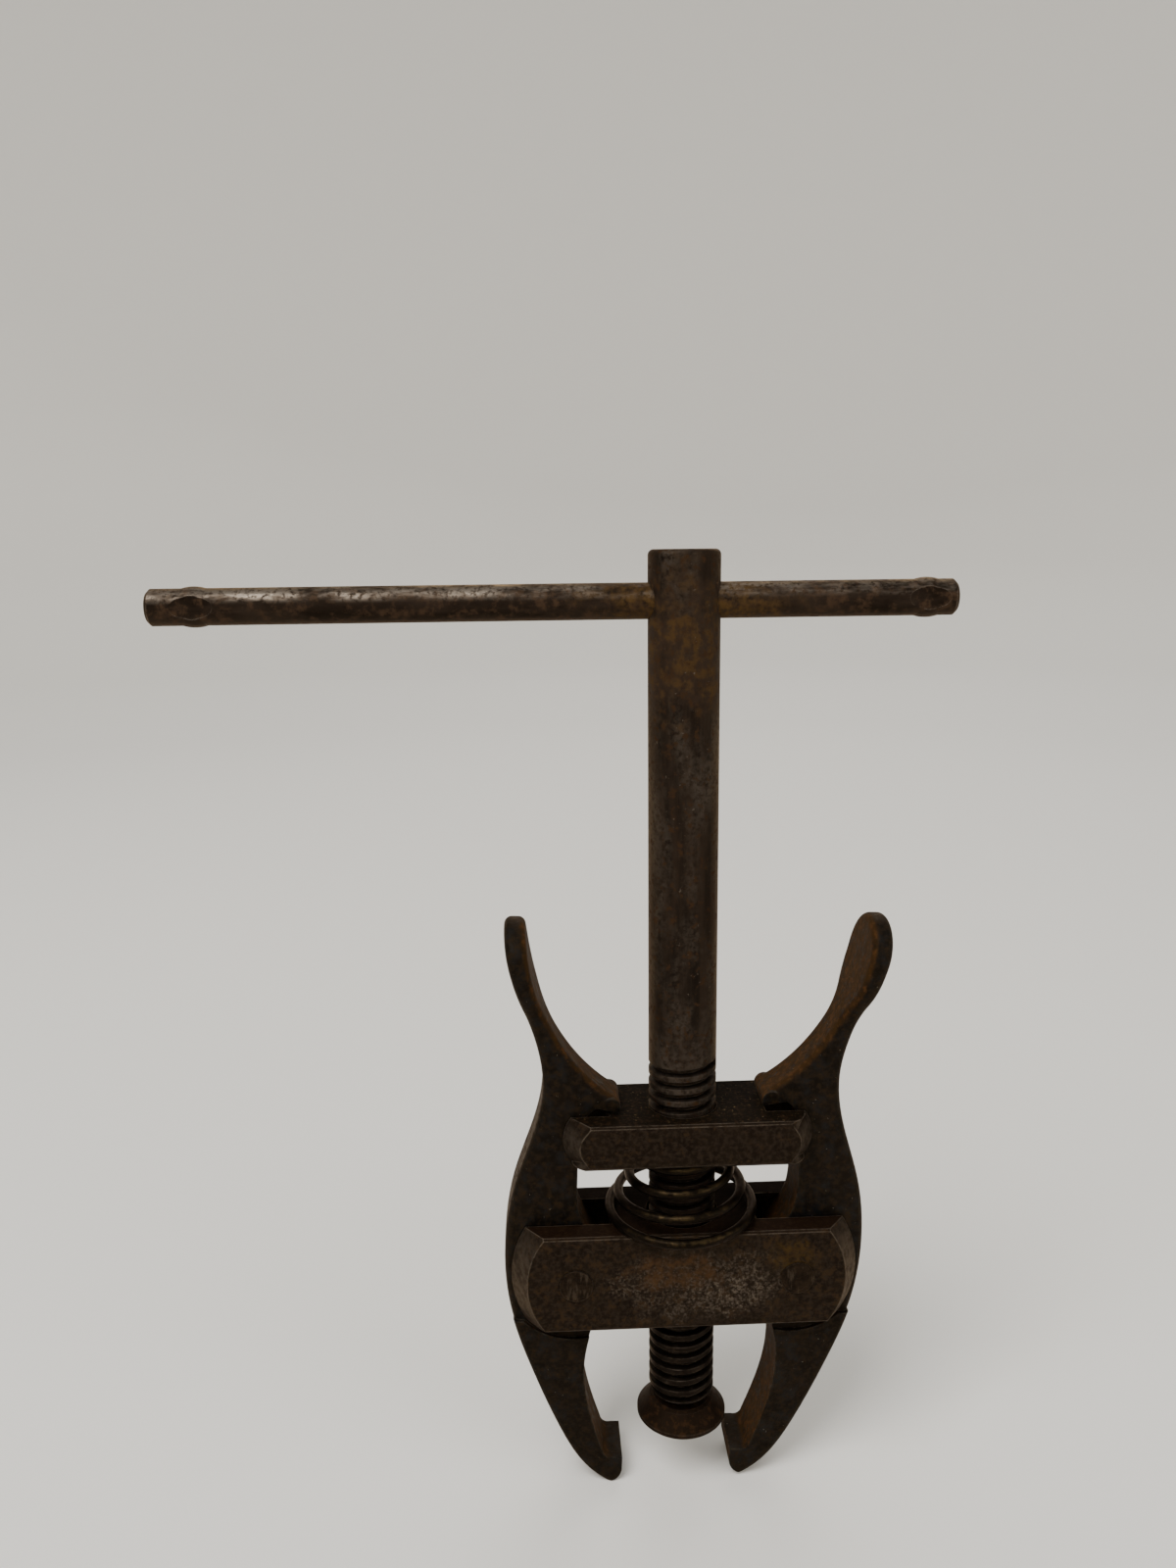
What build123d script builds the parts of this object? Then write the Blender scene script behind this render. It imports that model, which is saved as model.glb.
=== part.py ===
"""Two-jaw self-gripping screw puller, modelled in millimetres.

+Z runs up the forcing screw, X across the jaws, Y through the thickness of the blocks (front = -Y).
The origin is the centre of the pressing face of the swivel foot.
"""
import os
from math import cos, hypot, pi, radians, sin, sqrt

from build123d import *

# ---------------------------------------------------------------- driving dimensions
# forcing screw
screw_dia = 11.11            # plain shank and thread crests
screw_top_z = 148.0          # crown of the head
head_crown = 0.9             # rounding at the top of the head
thread_pitch = 2.117
thread_depth = 0.95
thread_root_width = 0.30     # of the groove, as parts of the pitch
thread_mouth_width = 0.72
thread_mouth_gap = 0.4       # the cutting profile reaches this far past the crests
thread_top_z = 66.0          # where the thread runs out into the shank
screw_end_z = 4.7            # lower end of the thread
end_chamfer = 0.8
neck_dia = 5.0               # neck between the thread and the button
button_dia = 7.2             # button that the foot is swaged over
button_z = 1.4               # underside of the button
button_height = 1.5

# tommy bar
bar_dia = 5.56
bar_length = 122.2
bar_offset = -19.3           # centre of the bar from the screw's axis
bar_z = 140.3
bar_hole_play = 0.20         # hole diameter over bar diameter
flat_length = 6.4            # struck flats near both ends, which stop the bar in its hole
flat_inset_left = 3.7
flat_inset_right = 1.4
flat_thickness = 4.5
bulge_height = 0.28          # how far the struck metal stands proud, up and down
bulge_length = 8.8
bar_end_chamfer = 0.5

# crosshead, threaded on the screw
crosshead_length = 40.8
crosshead_depth = 15.9
crosshead_height = 7.5
crosshead_base_z = 50.4
crosshead_end_radius = 6.0
crosshead_slot_x = 12.8      # inner end of each slot from the block's middle
crosshead_shift = 0.5        # the bore lies this far off the block's middle
thread_play = 0.05           # radial, between the crests and the crosshead's bore

# lower yoke, which carries the pivot pins
yoke_length = 57.6
yoke_depth = 15.9
yoke_height = 17.0
yoke_base_z = 21.7
yoke_end_radius = 16.0
yoke_slot_x = 12.0
yoke_bore_play = 0.89        # clearance hole's diameter over the screw's

# both blocks
bevel_x = 2.6                # bevel on the front and rear edges of the block ends
bevel_y = 3.8
edge_break = 0.35            # worn long edges

# jaws
tongue_thickness = 7.5       # the part of the jaw that works in the slots
slot_play = 0.4              # slot width over tongue thickness
arm_thickness = 8.7          # lower arm and hook
arm_rounding = 0.8
wing_width = 14.0            # thumb wing
wing_root_z = 71.0           # where the wing begins to widen
wing_full_z = 81.5           # where it is at full width
wing_top_z = 90.2
wing_rounding = 1.2
jaw_lean = 2.2               # degrees: play lets both jaws lean to the same side
pin_dia = 4.76
pin_spacing = 36.4
pin_play = 0.1               # jaw bore over pin diameter
pin_head_dia = 5.5
pin_head_height = 0.45
pin_head_bevel = (0.25, 0.9) # down the head's side and across its face
shoulder_gap = 0.6           # thick part of the arm clears the yoke by this much

# spring between the blocks
wire_dia = 1.6
spring_bottom_radius = 12.2  # mean radius of the widest turn
spring_core_gap = 0.395      # between the narrowest turn and the screw
spring_taper = 1.9           # how much the radius shrinks in each turn
spring_turns = 3.7
spring_closed_turns = 0.3    # flat turns at each end
spring_start = 150           # degrees, where the bottom coil is cut off
spring_seat_gap = 0.02

# swivel foot
foot_dia = 15.3
foot_neck_dia = 10.4
foot_rim = 1.0
foot_height = 3.7
foot_face_bevel = 0.4        # round the pressing face
foot_lip = 0.3               # rounded-over lip at the neck
socket_play = 0.14           # diameter, around button and neck

# ---------------------------------------------------------------- worked out from the above
screw_radius = screw_dia / 2
yoke_bore = screw_dia + yoke_bore_play
spring_top_radius = screw_radius + spring_core_gap + wire_dia / 2
pin_x = pin_spacing / 2
pin_z = yoke_base_z + yoke_height / 2
slot_width = tongue_thickness + slot_play
crosshead_top_z = crosshead_base_z + crosshead_height
yoke_top_z = yoke_base_z + yoke_height
reach = 60.0                 # longer than any solid that a jaw is cut from or with


def box_between(x0, x1, y0, y1, z0, z1):
    """A box given by its two opposite corners."""
    centre = Location(((x0 + x1) / 2, (y0 + y1) / 2, (z0 + z1) / 2))
    return centre * Box(x1 - x0, y1 - y0, z1 - z0)


def slab(face, thickness):
    """A face of the XZ plane thickened equally to the front and the rear."""
    return extrude(Location((0, thickness / 2, 0)) * face, thickness)


def rod(radius, z0, z1):
    """An upright cylinder on the screw's axis."""
    return Location((0, 0, (z0 + z1) / 2)) * Cylinder(radius, z1 - z0)


def cross_rod(radius, x, z, length):
    """A cylinder along Y, centred on Y = 0."""
    return Location((x, 0, z), (90, 0, 0)) * Cylinder(radius, length)


# ---------------------------------------------------------------- forcing screw and bar
def thread_groove():
    """The helical groove between the crests, begun one turn below the end of the screw."""
    start_z = screw_end_z - thread_pitch
    root = screw_radius - thread_depth
    mouth = screw_radius + thread_mouth_gap
    half_root = thread_root_width * thread_pitch / 2
    half_mouth = thread_mouth_width * thread_pitch / 2
    profile = Polyline(
        (root, -half_root), (root, half_root), (mouth, half_mouth), (mouth, -half_mouth), close=True
    )
    face = Location((0, 0, start_z)) * (Plane.XZ * make_face(profile))
    path = Location((0, 0, start_z)) * Helix(thread_pitch, thread_top_z - start_z, root)
    return sweep(face, path=path, is_frenet=True)


def make_screw():
    shank = rod(screw_radius, screw_end_z, screw_top_z)
    shank = fillet(shank.edges().group_by(Axis.Z)[-1], head_crown)
    shank = chamfer(shank.edges().group_by(Axis.Z)[0], end_chamfer)
    shank -= thread_groove()
    shank -= Location((0, 0, bar_z), (0, 90, 0)) * Cylinder((bar_dia + bar_hole_play) / 2, 2 * screw_dia)
    neck = rod(neck_dia / 2, button_z, screw_end_z)
    button = rod(button_dia / 2, button_z, button_z + button_height)
    return shank + neck + button


def make_bar():
    left = bar_offset - bar_length / 2
    right = bar_offset + bar_length / 2
    bar = Location((bar_offset, 0, bar_z), (0, 90, 0)) * Cylinder(bar_dia / 2, bar_length)
    bar = chamfer(bar.edges().filter_by(GeomType.CIRCLE), bar_end_chamfer)
    dish = (bar_dia - flat_thickness) / 2
    punch_radius = (flat_length / 2) ** 2 / (2 * dish) + dish / 2
    for x in (left + flat_inset_left + flat_length / 2, right - flat_inset_right - flat_length / 2):
        size = (bulge_length / 2, bar_dia / 2, bar_dia / 2 + bulge_height)
        bar += Location((x, 0, bar_z)) * scale(Sphere(1), by=size)
        for side in (-1, 1):
            punch_y = side * (flat_thickness / 2 + punch_radius)
            bar -= Location((x, punch_y, bar_z)) * Cylinder(punch_radius, 2 * bar_dia)
    return bar


# ---------------------------------------------------------------- the two blocks
def end_corner(length, height, end_radius):
    """How far out the top and bottom corners of a block's rounded end lie."""
    return length / 2 - end_radius + sqrt(end_radius**2 - (height / 2) ** 2)


def bevel_ends(block, half, depth):
    """Bevel the front and rear edges of both rounded ends."""
    for sx in (-1, 1):
        for sy in (-1, 1):
            end = block.faces().filter_by(GeomType.CYLINDER).sort_by_distance((sx * half, 0, 0))[0]
            arc = block.edges().filter_by(GeomType.CIRCLE).sort_by_distance((sx * half, sy * depth / 2, 0))[0]
            block = chamfer(arc, bevel_y, bevel_x, reference=end)
    return block


def make_block(length, depth, height, base_z, end_radius, slot_x):
    """A forged block with rounded, bevelled ends and a slot for a jaw in each end."""
    half = length / 2
    corner_x = end_corner(length, height, end_radius)
    side = Polyline((-corner_x, height / 2), (corner_x, height / 2))
    side += ThreePointArc((corner_x, height / 2), (half, 0), (corner_x, -height / 2))
    side += Polyline((corner_x, -height / 2), (-corner_x, -height / 2))
    side += ThreePointArc((-corner_x, -height / 2), (-half, 0), (-corner_x, height / 2))
    block = extrude(Plane.XZ * make_face(side), depth / 2, both=True)
    block = bevel_ends(block, half, depth)
    block = chamfer(block.edges().filter_by(Axis.X), edge_break)
    for sx in (-1, 1):
        slot_out = sx * length
        block -= box_between(*sorted((sx * slot_x, slot_out)), -slot_width / 2, slot_width / 2, -height, height)
    return Location((0, 0, base_z + height / 2)) * block


def make_crosshead():
    block = make_block(crosshead_length, crosshead_depth, crosshead_height, crosshead_base_z,
                       crosshead_end_radius, crosshead_slot_x)
    block = Location((crosshead_shift, 0, 0)) * block
    return block - rod(screw_radius + thread_play, crosshead_base_z - 1, crosshead_top_z + 1)


def make_yoke():
    block = make_block(yoke_length, yoke_depth, yoke_height, yoke_base_z, yoke_end_radius, yoke_slot_x)
    block -= rod(yoke_bore / 2, yoke_base_z - 1, yoke_top_z + 1)
    for sx in (-1, 1):
        block -= cross_rod(pin_dia / 2, sx * pin_x, pin_z, 2 * yoke_depth)
    return block


def make_pin(sx):
    pin = cross_rod(pin_dia / 2, sx * pin_x, pin_z, yoke_depth)
    for sy in (-1, 1):
        seat = Plane(origin=(sx * pin_x, sy * yoke_depth / 2, pin_z), z_dir=(0, sy, 0))
        head = extrude(seat * Circle(pin_head_dia / 2), pin_head_height)
        rim = head.faces().sort_by(Axis.Y)[0 if sy < 0 else -1].edges()
        pin += chamfer(rim, *pin_head_bevel)
    return pin


# ---------------------------------------------------------------- jaws
# outline of the right jaw, (x, z), with the wings and hooks level
hook_toe = (11.8, -9.9)
hook_tip = (9.3, -5.1)
hook_tip_bottom_z = -7.4
hook_nose = (10.0, -9.1)     # on the round between the tip's face and the toe
hook_ledge_x = 10.9          # where the flat ledge meets the inner edge's round
hook_throat = (11.9, -5.0)   # on that round
outer_edge = [hook_toe, (15.5, -6.9), (20.0, 0.2), (25.2, 12.0), (29.1, 24.0), (30.0, 34.0),
              (28.6, 45.0), (25.1, 56.5), (24.3, 63.5), (26.3, 72.5), (29.0, 80.0), (30.9, 92.0)]
wing_inner_edge = [(27.7, 92.0), (25.9, 80.0), (22.7, 72.0), (17.4, 64.8), (12.6, 60.9)]
horn_tip = (11.8, 58.5)
horn_nose = (11.6, 59.8)     # on the horn's rounded end
inner_edge = [(15.6, 59.3), (17.9, 56.2), (18.3, 50.0), (18.3, 45.0), (17.7, 40.0), (14.4, 34.0), (13.4, 28.5),
              (15.0, 20.5),
              (16.3, 13.0), (15.7, 6.0), (14.2, 0.4), (12.7, -3.9)]


def jaw_profile():
    """The side outline of the right jaw as a face in the XZ plane."""
    lines = Spline(*outer_edge)
    lines += Line(outer_edge[-1], wing_inner_edge[0])
    lines += Spline(*wing_inner_edge)
    lines += ThreePointArc(wing_inner_edge[-1], horn_nose, horn_tip)
    lines += Polyline(horn_tip, inner_edge[0])
    lines += Spline(*inner_edge)
    ledge = (hook_ledge_x, hook_tip[1])
    tip_bottom = (hook_tip[0], hook_tip_bottom_z)
    lines += ThreePointArc(inner_edge[-1], hook_throat, ledge)
    lines += Polyline(ledge, hook_tip, tip_bottom)
    lines += ThreePointArc(tip_bottom, hook_nose, hook_toe)
    return Plane.XZ * make_face(lines)


def side_outline():
    """The tongue and its thumb wing seen from the side, as a face in the YZ plane."""
    w = wing_width / 2
    t = tongue_thickness / 2
    crown_z = wing_top_z - w
    middle = ((t + w) / 2, (wing_root_z + wing_full_z) / 2)
    lower = TangentArc((t, wing_root_z), middle, tangent=(0, 1))
    upper = TangentArc(middle, (w, wing_full_z), tangent=lower % 1)
    half = Line((0, -reach), (t, -reach)) + Line((t, -reach), (t, wing_root_z)) + lower + upper
    half += Line((w, wing_full_z), (w, crown_z))
    half += ThreePointArc((w, crown_z), (w * cos(pi / 4), crown_z + w * sin(pi / 4)), (0, wing_top_z))
    half += Line((0, wing_top_z), (0, -reach))
    right = make_face(half)
    return Plane.YZ * (right + mirror(right, Plane.YZ))


def make_tongue(profile):
    """The tongue and the thumb wing, which is wider and has rounded edges."""
    tongue = slab(profile, wing_width + 2) & extrude(side_outline(), reach, both=True)
    wing_edges = tongue.edges().filter_by(lambda e: e.center().Z > wing_root_z - 3 and e.center().X > pin_x)
    across = wing_edges.filter_by(Axis.Y)
    return fillet([e for e in wing_edges if e not in across], wing_rounding)


def make_arm(profile):
    """The lower arm, thicker than the tongue beyond a shoulder that swings clear of the yoke."""
    corner_x = end_corner(yoke_length, yoke_height, yoke_end_radius)
    shoulder_radius = max(hypot(corner_x - pin_x, yoke_height / 2), yoke_length / 2 - pin_x) + shoulder_gap
    arm = slab(profile, arm_thickness)
    outer_edges = arm.edges().filter_by(GeomType.BSPLINE).sort_by(SortBy.LENGTH)[-2:]
    arm = fillet(outer_edges, arm_rounding)
    arm &= box_between(0, reach, -reach, reach, -reach, yoke_base_z - shoulder_gap)
    return arm - cross_rod(shoulder_radius, pin_x, pin_z, reach)


def make_right_jaw():
    """The right jaw in its level place."""
    profile = jaw_profile()
    jaw = make_tongue(profile) + make_arm(profile)
    return jaw - cross_rod((pin_dia + pin_play) / 2, pin_x, pin_z, reach)


def make_jaw(sx):
    """One jaw, leaning about its pin; both lean to the same side."""
    jaw = make_right_jaw()
    if sx < 0:
        jaw = mirror(jaw, Plane.YZ)
    pin_axis = Axis((sx * pin_x, 0, pin_z), (0, 1, 0))
    return jaw.rotate(pin_axis, jaw_lean)


# ---------------------------------------------------------------- spring and foot
def make_spring():
    """A conical compression spring seated between the two blocks."""
    z0 = yoke_top_z + wire_dia / 2 + spring_seat_gap
    z1 = crosshead_base_z - wire_dia / 2 - spring_seat_gap
    steps_per_turn = 12
    steps = round(spring_turns * steps_per_turn)
    points = []
    for i in range(steps + 1):
        turn = i / steps_per_turn
        rise = (turn - spring_closed_turns) / (spring_turns - 2 * spring_closed_turns)
        z = z0 + (z1 - z0) * min(max(rise, 0), 1)
        shrink = spring_taper * max(turn - spring_closed_turns, 0)
        radius = max(spring_bottom_radius - shrink, spring_top_radius)
        angle = radians(spring_start) + 2 * pi * turn
        points.append((radius * cos(angle), radius * sin(angle), z))
    path = Spline(*points)
    section = Plane(origin=path @ 0, z_dir=path % 0) * Circle(wire_dia / 2)
    return sweep(section, path=path)


def make_foot():
    """The flared foot, swaged over the button so that it swivels on the screw."""
    r = foot_dia / 2
    neck = foot_neck_dia / 2
    side = Polyline(
        (0, 0), (r - foot_face_bevel, 0), (r, foot_face_bevel), (r, foot_rim),
        (neck + foot_lip, foot_height - foot_lip), (neck - foot_lip, foot_height), (0, foot_height),
        close=True
    )
    foot = revolve(Plane.XZ * make_face(side), Axis.Z)
    play = socket_play / 2
    foot -= rod(button_dia / 2 + play, button_z - play, button_z + button_height + play)
    foot -= rod(neck_dia / 2 + play, button_z, foot_height + 1)
    return foot


def main():
    os.makedirs("parts", exist_ok=True)
    pieces = {
        "forcing_screw": make_screw(),
        "tommy_bar": make_bar(),
        "crosshead": make_crosshead(),
        "lower_yoke": make_yoke(),
        "pivot_pin_left": make_pin(-1),
        "pivot_pin_right": make_pin(1),
        "jaw_left": make_jaw(-1),
        "jaw_right": make_jaw(1),
        "jaw_spring": make_spring(),
        "swivel_foot": make_foot(),
    }
    for name, shape in pieces.items():
        export_step(shape, f"parts/{name}.step")


main()
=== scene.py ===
# %% [markdown]
# # A two-jaw screw puller in old oxidised steel
#
# The tool is a hand puller: a screw with a sliding bar, two blocks, two hooked jaws and a spring. Every
# metal piece comes ready-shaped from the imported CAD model, so this lesson is about finishes. It loads
# the pieces, builds one layered steel at a time out of shader nodes, and then sets the stage.

# %% Load the frame
import math

import bmesh
import bpy
from mathutils import Matrix, Vector


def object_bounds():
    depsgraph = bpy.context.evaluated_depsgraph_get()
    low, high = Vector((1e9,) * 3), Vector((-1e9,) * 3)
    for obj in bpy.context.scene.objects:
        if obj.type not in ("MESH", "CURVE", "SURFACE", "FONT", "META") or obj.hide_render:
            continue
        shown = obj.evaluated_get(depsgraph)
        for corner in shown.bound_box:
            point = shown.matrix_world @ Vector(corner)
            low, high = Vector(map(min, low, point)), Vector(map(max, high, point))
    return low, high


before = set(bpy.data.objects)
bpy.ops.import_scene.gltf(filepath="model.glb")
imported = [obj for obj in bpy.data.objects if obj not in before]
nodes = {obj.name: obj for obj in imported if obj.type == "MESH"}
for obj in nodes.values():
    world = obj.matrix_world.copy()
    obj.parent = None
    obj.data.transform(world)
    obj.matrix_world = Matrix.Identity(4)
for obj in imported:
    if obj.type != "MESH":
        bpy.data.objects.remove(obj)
cad_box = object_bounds()
print("loaded", len(nodes), "pieces, CAD box", [tuple(round(v, 4) for v in c) for c in cad_box])

# %% [markdown]
# ## Small tools for materials
#
# Blender's nodes mix colours in linear light, while a colour picked from a chart is sRGB, so one
# function turns hex values into linear ones. A second function adds a node, fills its inputs and
# returns one output, which keeps each material readable as a list of steps. Lengths are written in
# millimetres and turned to metres once.

# %% Colour, size and node helpers
MM = 0.001


def linear_colour(hex_text):
    """An sRGB hex colour as the linear RGBA that the nodes expect."""
    channels = [int(hex_text[i:i + 2], 16) / 255 for i in (1, 3, 5)]
    linear = [c / 12.92 if c <= 0.04045 else ((c + 0.055) / 1.055) ** 2.4 for c in channels]
    return (*linear, 1.0)


def add(material, kind, settings=None, inputs=None, out=None):
    """Adds one shader node, fills its inputs with values or links, and returns an output."""
    tree = material.node_tree
    node = tree.nodes.new("ShaderNode" + kind)
    for name, value in (settings or {}).items():
        setattr(node, name, value)
    for name, value in (inputs or {}).items():
        if isinstance(name, int):
            socket = node.inputs[name]
        else:
            socket = next(s for s in node.inputs if s.enabled and s.name == name)
        if isinstance(value, bpy.types.NodeSocket):
            tree.links.new(value, socket)
        else:
            socket.default_value = value
    if out:
        return node.outputs[out]
    return next((s for s in node.outputs if s.enabled), None)


# %% [markdown]
# ## Patterns that old steel shares
#
# Rust, wear and painted shade each follow a rule. Rust breaks out in blotches, wear shows on edges that
# hands and other tools rub, and painted shade darkens corners. Each rule is one function that returns a mask
# between 0 and 1. All of them read Object coordinates, so a pattern stays put when its piece moves.

# %% Masks
def blotches(material, size, level, softness=0.08, stretch=(1, 1, 1), shift=0.0):
    """Irregular spots of about this size in millimetres; a higher level leaves fewer."""
    place = add(material, "TexCoord", out="Object")
    place = add(material, "Mapping", None, {
        "Vector": place, "Location": (shift, shift, shift), "Scale": stretch})
    noise = add(material, "TexNoise", None, {
        "Vector": place, "Scale": 1 / (size * MM), "Detail": 6.0, "Roughness": 0.62})
    return add(material, "MapRange", {"interpolation_type": "SMOOTHSTEP"}, {
        "Value": noise, "From Min": level - softness, "From Max": level + softness})


def patch(material, centre, size, ragged=0.5, grain=2.5):
    """A smear round a point, with its half-sizes in millimetres and a ragged rim."""
    place = add(material, "TexCoord", out="Object")
    away = add(material, "VectorMath", {"operation": "SUBTRACT"}, {0: place, 1: [c * MM for c in centre]})
    away = add(material, "VectorMath", {"operation": "DIVIDE"}, {0: away, 1: [s * MM for s in size]})
    far = add(material, "VectorMath", {"operation": "LENGTH"}, {0: away}, out="Value")
    noise = add(material, "TexNoise", None, {
        "Vector": place, "Scale": 1 / (grain * MM), "Detail": 5.0, "Roughness": 0.65})
    rough = add(material, "Math", {"operation": "MULTIPLY_ADD"}, {0: noise, 1: -2 * ragged, 2: ragged})
    far = add(material, "Math", {"operation": "ADD"}, {0: far, 1: rough})
    return add(material, "MapRange", {"interpolation_type": "SMOOTHSTEP"}, {
        "Value": far, "From Min": 1.0, "From Max": 0.45})


def facing(material, direction, start, full):
    """1 where the surface looks along a direction; start and full are cosines of the angle to it."""
    normal = add(material, "TexCoord", out="Normal")
    along = add(material, "VectorMath", {"operation": "DOT_PRODUCT"}, {
        0: normal, 1: Vector(direction).normalized()}, out="Value")
    return add(material, "MapRange", {"interpolation_type": "SMOOTHSTEP"}, {
        "Value": along, "From Min": start, "From Max": full})


EDGE_START, EDGE_FULL = 0.995, 0.93  # cosines of the angle between the flat and the rounded normal


def worn_edges(material, radius):
    """1 where an edge sharper than this radius, in millimetres, turns the surface away."""
    rounded = add(material, "Bevel", {"samples": 6}, {"Radius": radius * MM})
    flat = add(material, "NewGeometry", out="Normal")
    same = add(material, "VectorMath", {"operation": "DOT_PRODUCT"}, {0: rounded, 1: flat}, out="Value")
    return add(material, "MapRange", {"interpolation_type": "SMOOTHSTEP"}, {
        "Value": same, "From Min": EDGE_START, "From Max": EDGE_FULL})


def painted_corner_shade(material, depth):
    """1 in the nooks and grooves that are this deep, in millimetres, where painted shade darkens the steel.
    """
    open_sky = add(material, "AmbientOcclusion", {"samples": 6, "only_local": True}, {
        "Distance": depth * MM}, out="AO")
    return add(material, "MapRange", None, {"Value": open_sky, "From Min": 0.85, "From Max": 0.35})


def times(material, *masks):
    """Several masks multiplied: 1 only where all of them are."""
    product = masks[0]
    for mask in masks[1:]:
        product = add(material, "Math", {"operation": "MULTIPLY"}, {0: product, 1: mask})
    return product


# %% [markdown]
# ## Layers
#
# A finish is three things at each point: colour, roughness and how metallic it is. Bare steel is
# metallic and smooth, mill scale is dark and half metallic, and rust is rough and not metallic at all.
# One function lays a finish over what is below it wherever its mask is 1. Another one ends every
# material: it adds the fine pitting as bump, rounds the hard edges a little and joins the shader.

# %% Layers and the shader
def over(material, surface, mask, hex_text, roughness, metallic):
    """Lays a finish over a surface, which is a list of its colour, roughness and metallic."""
    finish = (("RGBA", linear_colour(hex_text)), ("FLOAT", roughness), ("FLOAT", metallic))
    return [
        add(material, "Mix", {"data_type": kind}, {"Factor": mask, "A": below, "B": new})
        for below, (kind, new) in zip(surface, finish)
    ]


WARM_REFLECTION = "#f2cfa4"  # a thin film of old oil and rust tints what the steel reflects
DULL_REFLECTION = 0.12       # and it takes most of the shine away


def pitted(material, surface, pit_size, pit_depth, swell_size, swell_depth, edge_radius):
    """Ends a material: rounded edges, forging swells and fine pits, sizes and depths in millimetres."""
    place = add(material, "TexCoord", out="Object")
    normal = add(material, "Bevel", {"samples": 6}, {"Radius": edge_radius * MM})
    for size, depth, detail in ((swell_size, swell_depth, 3.0), (pit_size, pit_depth, 8.0)):
        height = add(material, "TexNoise", None, {
            "Vector": place, "Scale": 1 / (size * MM), "Detail": detail, "Roughness": 0.6})
        normal = add(material, "Bump", None, {
            "Strength": 1.0, "Distance": depth * MM, "Height": height, "Normal": normal})
    colour, roughness, metallic = surface
    shader = add(material, "BsdfPrincipled", None, {
        "Base Color": colour, "Roughness": roughness, "Metallic": metallic, "Normal": normal,
        "Specular IOR Level": DULL_REFLECTION, "Specular Tint": linear_colour(WARM_REFLECTION)})
    add(material, "OutputMaterial", None, {"Surface": shader})
    return material


def new_material(name):
    material = bpy.data.materials.new(name)
    material.use_nodes = True
    material.node_tree.nodes.clear()
    return material


# %% [markdown]
# ## Forcing screw: turned bar steel, handled and rusted
#
# The shank was turned smooth, and years of hands and damp have made it brown-grey with faint upright
# streaks. Rust has come out round the head, where the bar rubs off the oil. The thread below is dark with
# oil, its grooves are darkened further with painted shade, and its crests are rubbed lighter.

# %% Screw finish
def turned_steel():
    m = new_material("turned_steel_browned")
    surface = [linear_colour("#241c16"), 0.52, 0.5]
    surface = over(m, surface, blotches(m, 1.5, 0.52, 0.16, stretch=(1, 1, 0.06)), "#14100d", 0.46, 0.5)
    grey = blotches(m, 6.0, 0.53, 0.14, stretch=(1, 1, 0.35), shift=0.03)
    surface = over(m, surface, times(m, grey, blotches(m, 0.8, 0.46, 0.12)), "#3b342d", 0.50, 0.6)
    head = patch(m, (0, 0, 134), (12, 12, 16), 0.9, 5.0)
    surface = over(m, surface, times(m, head, blotches(m, 3.0, 0.40, 0.16)), "#2a2019", 0.72, 0.15)
    surface = over(m, surface, times(m, head, blotches(m, 1.6, 0.53, 0.10)), "#3b2b18", 0.82, 0.05)
    surface = over(m, surface, blotches(m, 1.2, 0.60, 0.06, shift=0.07), "#2e1f13", 0.80, 0.05)
    surface = over(m, surface, blotches(m, 0.7, 0.69, 0.03, shift=0.11), "#4a4239", 0.55, 0.3)
    oily = patch(m, (0, 0, 18), (14, 14, 34), 0.4, 4.0)
    surface = over(m, surface, times(m, oily, blotches(m, 1.4, 0.40, 0.14)), "#0e0a08", 0.44, 0.4)
    # Painted shade: near-black in the grooves and corners.
    surface = over(m, surface, painted_corner_shade(m, 2.0), "#050403", 0.45, 0.2)
    edges = times(m, worn_edges(m, 0.3), blotches(m, 1.0, 0.50, 0.12))
    surface = over(m, surface, edges, "#3a332c", 0.38, 0.8)
    return pitted(m, surface, 0.45, 0.035, 4.0, 0.07, 0.18)


# %% [markdown]
# ## Tommy bar: drawn rod
#
# The bar is drawn rod with no finish left. It is browner than the screw, with rust beside the head, a
# painted highlight in streaks along its top front, and bright worn spots where its ends were struck flat.

# %% Bar finish
def drawn_rod():
    m = new_material("drawn_rod_browned")
    surface = [linear_colour("#28201a"), 0.48, 0.5]
    surface = over(m, surface, blotches(m, 4.0, 0.50, 0.16, stretch=(0.3, 1, 1)), "#140f0b", 0.46, 0.5)
    surface = over(m, surface, blotches(m, 1.5, 0.56, 0.10, shift=0.05), "#36281d", 0.76, 0.1)
    beside = patch(m, (0, 0, 140.3), (19, 8, 8), 0.8, 3.0)
    surface = over(m, surface, times(m, beside, blotches(m, 1.1, 0.48, 0.14)), "#44321b", 0.84, 0.0)
    # Painted highlight: bright bare-steel streaks on the faces turned up and toward the front.
    top = facing(m, (0, -0.45, 1), 0.50, 0.95)
    top_highlight = times(m, top, blotches(m, 3.5, 0.50, 0.12, stretch=(0.25, 1, 1), shift=0.02))
    surface = over(m, surface, times(m, top_highlight, blotches(m, 0.8, 0.44, 0.12)), "#74695d", 0.34, 0.9)
    edges = times(m, worn_edges(m, 0.35), blotches(m, 1.0, 0.45, 0.12))
    surface = over(m, surface, edges, "#645a50", 0.34, 0.9)
    return pitted(m, surface, 0.4, 0.03, 3.0, 0.10, 0.2)


# %% [markdown]
# ## The two blocks: forged and machined, then left to rust
#
# The blocks keep flat machined faces with a brown oxide over them. Their long top edges are rubbed to
# lighter lines, the bevels at the ends are worn grey, the crosshead's top holds grit, and the yoke's
# front has an orange smear with a worn grey patch beside it. One function makes both.

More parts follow.
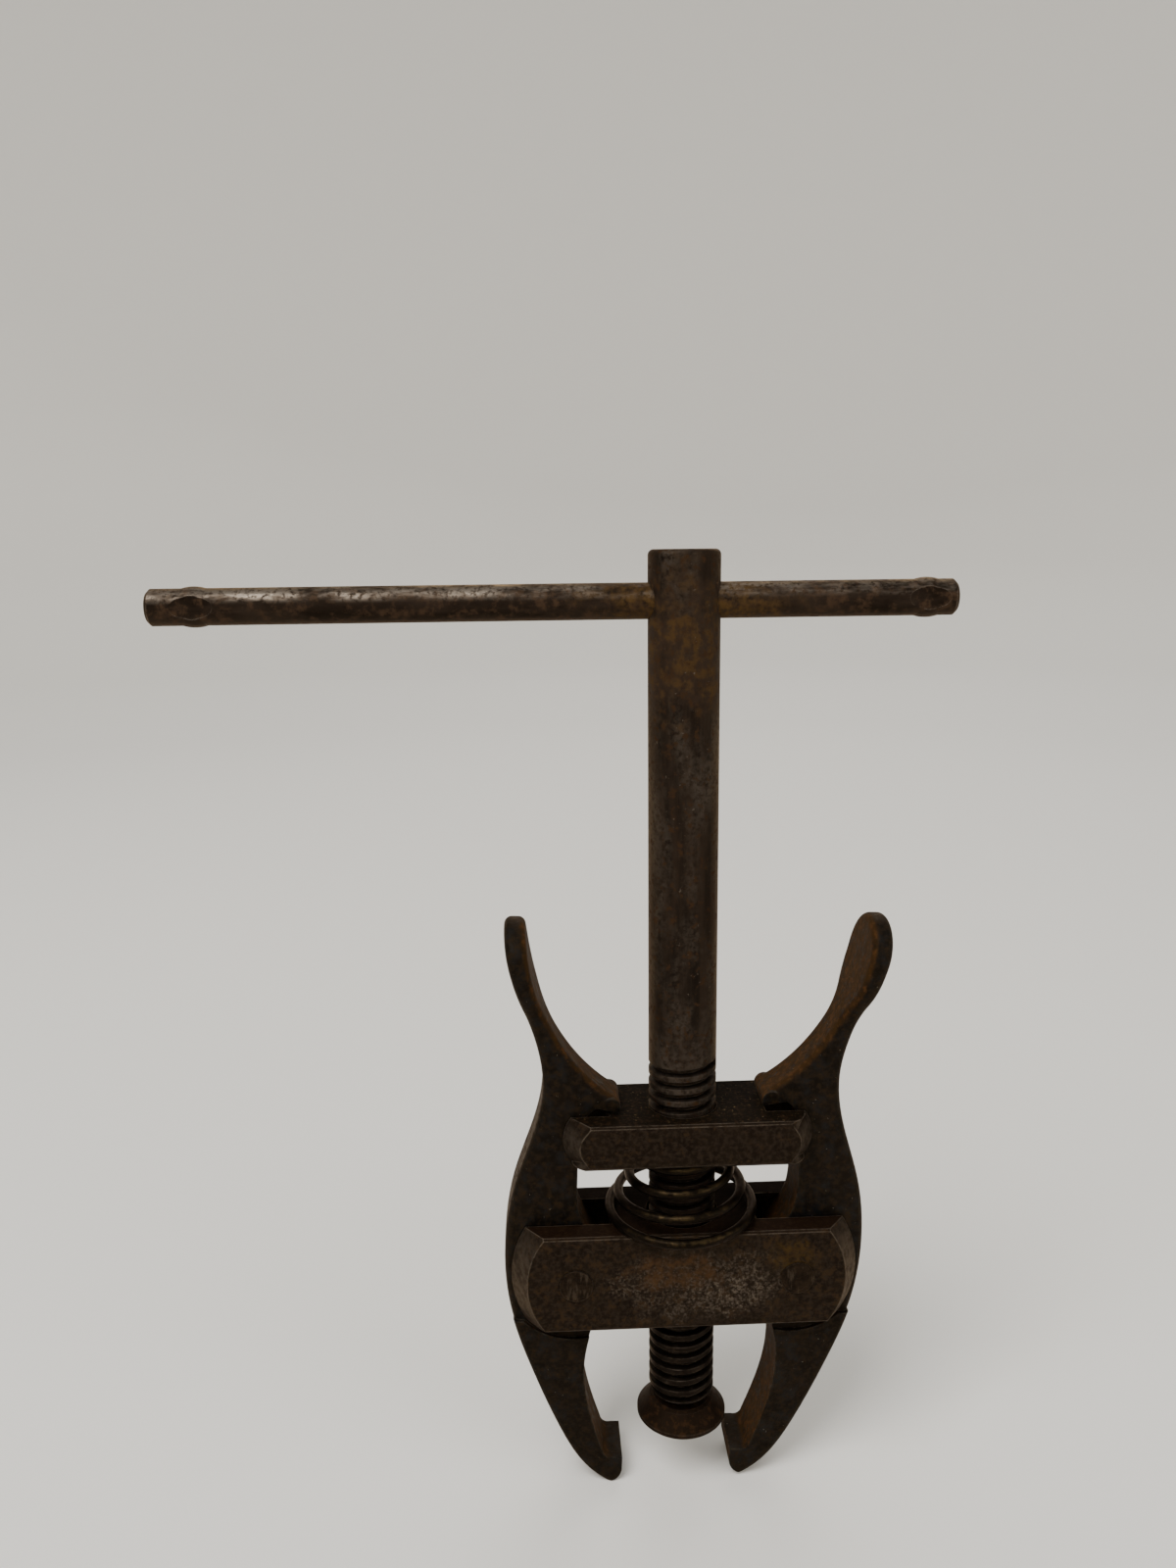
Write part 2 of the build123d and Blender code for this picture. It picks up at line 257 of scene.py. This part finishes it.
# %% Block finish
def block_steel(name, top_colour, rust_level, gritty):
    """A block's steel: a lower rust level shows more rust, and grit lies only on a gritty top."""
    m = new_material(name)
    surface = [linear_colour("#19130d"), 0.62, 0.4]
    surface = over(m, surface, blotches(m, 3.5, 0.50, 0.16), "#100b08", 0.60, 0.4)
    surface = over(m, surface, blotches(m, 0.8, 0.52, 0.10, shift=0.02), "#231c16", 0.66, 0.3)
    surface = over(m, surface, blotches(m, 1.2, rust_level, 0.07, shift=0.04), "#281d12", 0.80, 0.05)
    top = facing(m, (0, 0, 1), 0.6, 0.9)
    surface = over(m, surface, top, top_colour, 0.95, 0.0)
    surface = over(m, surface, times(m, top, blotches(m, 0.7, 0.55, 0.06)), "#1c120a", 0.95, 0.0)
    if gritty:
        grit = times(m, top, blotches(m, 0.45, 0.655, 0.03, shift=0.09))
        surface = over(m, surface, grit, "#58472f", 0.95, 0.0)
    worn = times(m, patch(m, (2, -8, 29.5), (19, 4, 7.5), 1.0, 4.0), blotches(m, 0.45, 0.55, 0.09))
    surface = over(m, surface, worn, "#3f372f", 0.52, 0.5)
    worn = times(m, patch(m, (7, -8, 28.5), (10, 4, 5), 1.0, 3.0), blotches(m, 0.55, 0.57, 0.07, shift=0.06))
    surface = over(m, surface, worn, "#4f463c", 0.50, 0.5)
    smear = patch(m, (-1.5, -8, 32), (8.5, 4, 4.2), 1.0, 3.5)
    surface = over(m, surface, times(m, smear, blotches(m, 1.1, 0.50, 0.18)), "#3b2817", 0.84, 0.0)
    halo = patch(m, (17.5, -8, 34), (5, 4, 4), 0.9, 2.5)
    surface = over(m, surface, times(m, halo, blotches(m, 1.0, 0.50, 0.16)), "#32240f", 0.84, 0.0)
    # Painted shade: near-black in the corners and slots.
    surface = over(m, surface, painted_corner_shade(m, 2.5), "#070504", 0.70, 0.1)
    for side in (-1, 1):
        bevel = times(m, facing(m, (0.75 * side, -0.55, 0), 0.86, 0.97), blotches(m, 1.1, 0.46, 0.16))
        surface = over(m, surface, bevel, "#302a24", 0.50, 0.5)
    edges = times(m, worn_edges(m, 0.3), blotches(m, 1.2, 0.42, 0.14))
    surface = over(m, surface, edges, "#5a5045", 0.44, 0.8)
    return pitted(m, surface, 0.5, 0.05, 5.0, 0.12, 0.3)


# %% [markdown]
# ## Jaws: drop forgings with their scale on
#
# A forging comes out of the die with blue-black scale, slightly uneven to the touch. The outer faces
# keep it, with a faint bluish-grey bloom. The inner faces, the wings and the hooks have lost it to rust.

# %% Jaw finish
def forged_scale():
    m = new_material("forged_steel_with_scale")
    surface = [linear_colour("#14100c"), 0.56, 0.45]
    surface = over(m, surface, blotches(m, 6.0, 0.50, 0.16), "#0c0b09", 0.50, 0.5)
    surface = over(m, surface, blotches(m, 2.2, 0.55, 0.12, shift=0.03), "#191919", 0.50, 0.55)
    surface = over(m, surface, blotches(m, 0.9, 0.55, 0.10, shift=0.08), "#1e1710", 0.66, 0.3)
    surface = over(m, surface, blotches(m, 1.6, 0.61, 0.08, shift=0.06), "#22190f", 0.80, 0.1)
    blued = patch(m, (21, -5, 30), (7, 6, 11), 0.9, 4.0)
    blued = times(m, blued, blotches(m, 1.8, 0.44, 0.14, shift=0.10))
    surface = over(m, surface, blued, "#14171b", 0.44, 0.6)
    across = add(m, "SeparateXYZ", None, {"Vector": add(m, "TexCoord", out="Object")}, out="X")
    for side in (-1, 1):
        inward = facing(m, (-side, 0, 0.25), 0.25, 0.8)
        own_half = add(m, "Math", {"operation": "MULTIPLY"}, {0: across, 1: side / MM})
        own_half = add(m, "Math", {"operation": "GREATER_THAN"}, {0: own_half, 1: 0.0})
        rust = times(m, inward, own_half, blotches(m, 2.2, 0.42, 0.16, shift=0.02 * side))
        surface = over(m, surface, rust, "#2e1e0c", 0.82, 0.05)
        rust = times(m, inward, own_half, blotches(m, 1.0, 0.56, 0.08, shift=0.05 * side))
        surface = over(m, surface, rust, "#3f2814", 0.84, 0.0)
    # Painted shade: near-black in the corners and between the arms.
    surface = over(m, surface, painted_corner_shade(m, 2.0), "#070504", 0.60, 0.1)
    edges = times(m, worn_edges(m, 0.45), blotches(m, 1.6, 0.49, 0.12))
    surface = over(m, surface, edges, "#353029", 0.42, 0.8)
    surface = over(m, surface, blotches(m, 0.6, 0.71, 0.015, shift=0.13), "#756f62", 0.60, 0.2)
    return pitted(m, surface, 0.6, 0.06, 4.5, 0.22, 0.35)


# %% [markdown]
# ## Pins: hammered over
#
# The pins' ends were hammered over to hold them in the yoke. They are dimpled, and the high spots are
# scratched down to lighter steel.

# %% Pin finish
def peened_steel():
    m = new_material("peened_pin_steel")
    surface = [linear_colour("#201811"), 0.52, 0.5]
    surface = over(m, surface, blotches(m, 1.3, 0.52, 0.12), "#100b08", 0.56, 0.4)
    scratches = blotches(m, 0.8, 0.57, 0.06, stretch=(1, 1, 0.25))
    surface = over(m, surface, scratches, "#352d25", 0.42, 0.8)
    edges = times(m, worn_edges(m, 0.25), blotches(m, 0.9, 0.50, 0.12))
    surface = over(m, surface, edges, "#332c24", 0.42, 0.8)
    return pitted(m, surface, 0.5, 0.05, 1.6, 0.22, 0.2)


# %% [markdown]
# ## Spring: oiled wire
#
# The spring is round wire, nearly black with oil. Only the side that faces forward and up carries a painted
# brassy highlight, and it does so in patches.

# %% Spring finish
def oiled_wire():
    m = new_material("oiled_spring_wire")
    surface = [linear_colour("#070504"), 0.38, 0.4]
    surface = over(m, surface, blotches(m, 2.5, 0.52, 0.14), "#0d0a07", 0.42, 0.4)
    surface = over(m, surface, blotches(m, 1.0, 0.60, 0.06, shift=0.04), "#170f08", 0.66, 0.2)
    # Painted highlight: brassy patches on the side that faces forward and up.
    front_highlight = facing(m, (0, -0.6, 0.6), 0.75, 1.0)
    surface = over(m, surface, times(m, front_highlight, blotches(m, 1.6, 0.53, 0.10)), "#352b1b", 0.34, 0.7)
    return pitted(m, surface, 0.4, 0.02, 2.5, 0.04, 0.15)


# %% [markdown]
# ## Foot: turned steel
#
# The foot is pressed against rusty clamps in use. It has rusted brown all over, and its rim is rubbed.

# %% Foot finish
def turned_foot():
    m = new_material("turned_foot_steel")
    surface = [linear_colour("#170f0a"), 0.64, 0.35]
    surface = over(m, surface, blotches(m, 2.0, 0.50, 0.14), "#110b07", 0.62, 0.3)
    surface = over(m, surface, blotches(m, 1.1, 0.57, 0.08, shift=0.05), "#27190e", 0.82, 0.05)
    # Painted shade: near-black in the corners and grooves.
    surface = over(m, surface, painted_corner_shade(m, 1.5), "#070403", 0.65, 0.1)
    edges = times(m, worn_edges(m, 0.4), blotches(m, 1.0, 0.46, 0.14))
    surface = over(m, surface, edges, "#42382f", 0.44, 0.7)
    return pitted(m, surface, 0.5, 0.05, 3.0, 0.10, 0.25)


# %% [markdown]
# ## Which piece gets which finish
#
# A finish is built once and shared by pieces made the same way, so both jaws share one and both pins
# share one. The blocks each have their own: the crosshead's top is open to grit, and the yoke's, under
# the spring, is a redder brown.

# %% Give every piece its finish
jaw_finish = forged_scale()
pin_finish = peened_steel()
finishes = {
    "forcing_screw": turned_steel(),
    "tommy_bar": drawn_rod(),
    "crosshead": block_steel("crosshead_steel", "#0a0704", 0.62, True),
    "lower_yoke": block_steel("yoke_steel", "#150b06", 0.57, False),
    "pivot_pin_left": pin_finish,
    "pivot_pin_right": pin_finish,
    "jaw_left": jaw_finish,
    "jaw_right": jaw_finish,
    "jaw_spring": oiled_wire(),
    "swivel_foot": turned_foot(),
}
for name, finish in finishes.items():
    nodes[name].data.materials.clear()
    nodes[name].data.materials.append(finish)
    print(name, "gets", finish.name, len(nodes[name].data.polygons), "triangles")

# %% [markdown]
# ## Stage
#
# A plain pale floor that curves up into a wall far away on every side gives the same quiet background
# from any view. It is one profile spun round the vertical, so there is no corner to see.

# %% Floor
FLOOR_SEGMENTS = 72
MERGE_DISTANCE = 1e-5
floor_z = cad_box[0].z
floor_profile = [(0.0, 0.0), (0.9, 0.0), (1.15, 0.03), (1.35, 0.14), (1.48, 0.34), (1.52, 0.9), (1.52, 1.8)]
stage_mesh = bmesh.new()
previous = None
for radius, height in floor_profile:
    corner = stage_mesh.verts.new((radius, 0, floor_z + height))
    if previous:
        stage_mesh.edges.new((previous, corner))
    previous = corner
bmesh.ops.spin(
    stage_mesh, geom=stage_mesh.verts[:] + stage_mesh.edges[:], cent=(0, 0, 0), axis=(0, 0, 1),
    angle=2 * math.pi, steps=FLOOR_SEGMENTS, use_merge=True,
)
bmesh.ops.remove_doubles(stage_mesh, verts=stage_mesh.verts[:], dist=MERGE_DISTANCE)
bmesh.ops.recalc_face_normals(stage_mesh, faces=stage_mesh.faces[:])
floor_data = bpy.data.meshes.new("studio_floor")
stage_mesh.to_mesh(floor_data)
stage_mesh.free()
floor_data.polygons.foreach_set("use_smooth", [True] * len(floor_data.polygons))
floor = bpy.data.objects.new("studio_floor", floor_data)
bpy.context.scene.collection.objects.link(floor)
paper = new_material("pale_matt_paper")
paper_shader = add(paper, "BsdfPrincipled", None, {"Base Color": linear_colour("#e8e4dd"), "Roughness": 0.9})
add(paper, "OutputMaterial", None, {"Surface": paper_shader})
floor_data.materials.append(paper)
print("floor at z", round(floor_z, 4))

# %% [markdown]
# ## Light
#
# Large soft lamps give the long gentle highlights that round steel shows. The main one hangs above and
# in front, to the left, and a weaker one fills from the right. A pale world lifts the shadows.

# %% Lights
TOOL_MIDDLE = Vector((0, 0, 0.07))


def soft_lamp(name, place, size, power):
    """A square area lamp at a place, turned to the middle of the tool."""
    data = bpy.data.lights.new(name, "AREA")
    data.size = size
    data.energy = power
    lamp = bpy.data.objects.new(name, data)
    lamp.location = place
    lamp.rotation_mode = "QUATERNION"
    lamp.rotation_quaternion = (Vector(place) - TOOL_MIDDLE).to_track_quat("Z", "Y")
    bpy.context.scene.collection.objects.link(lamp)
    print(name, "at", place, "with", power, "W")


soft_lamp("main_lamp", (-0.45, -0.55, 1.05), 0.6, 14.0)
soft_lamp("fill_lamp", (0.8, -0.6, 0.5), 0.7, 3.0)
soft_lamp("rear_lamp", (0.2, 0.9, 0.8), 0.7, 3.0)
world = bpy.data.worlds.new("pale_room")
world.use_nodes = True
sky = world.node_tree.nodes["Background"].inputs
sky["Color"].default_value = linear_colour("#d4dade")
sky["Strength"].default_value = 0.7
bpy.context.scene.world = world

# %% [markdown]
# ## Camera
#
# The tool was seen from a hand's height, a little to the left and slightly from above, through a wide
# phone-like lens. Three angles and one place say that: how far the camera tilts from straight down, how
# it is turned, and how it is rolled.

# %% Camera
camera_place = Vector((-0.0227, -0.1805, 0.1480))
tilt, turn, roll = (math.radians(a) for a in (78.76, -2.45, -0.69))
camera_data = bpy.data.cameras.new("camera")
camera_data.sensor_width = 36.0
camera_data.lens = 27.05
camera_data.clip_start = 0.01
camera = bpy.data.objects.new("camera", camera_data)
camera.matrix_world = (
    Matrix.Translation(camera_place)
    @ Matrix.Rotation(turn, 4, "Z")
    @ Matrix.Rotation(tilt, 4, "X")
    @ Matrix.Rotation(roll, 4, "Z")
)
bpy.context.scene.collection.objects.link(camera)
bpy.context.scene.camera = camera
print("camera at", [round(v, 4) for v in camera_place], "lens", round(camera_data.lens, 2), "mm")
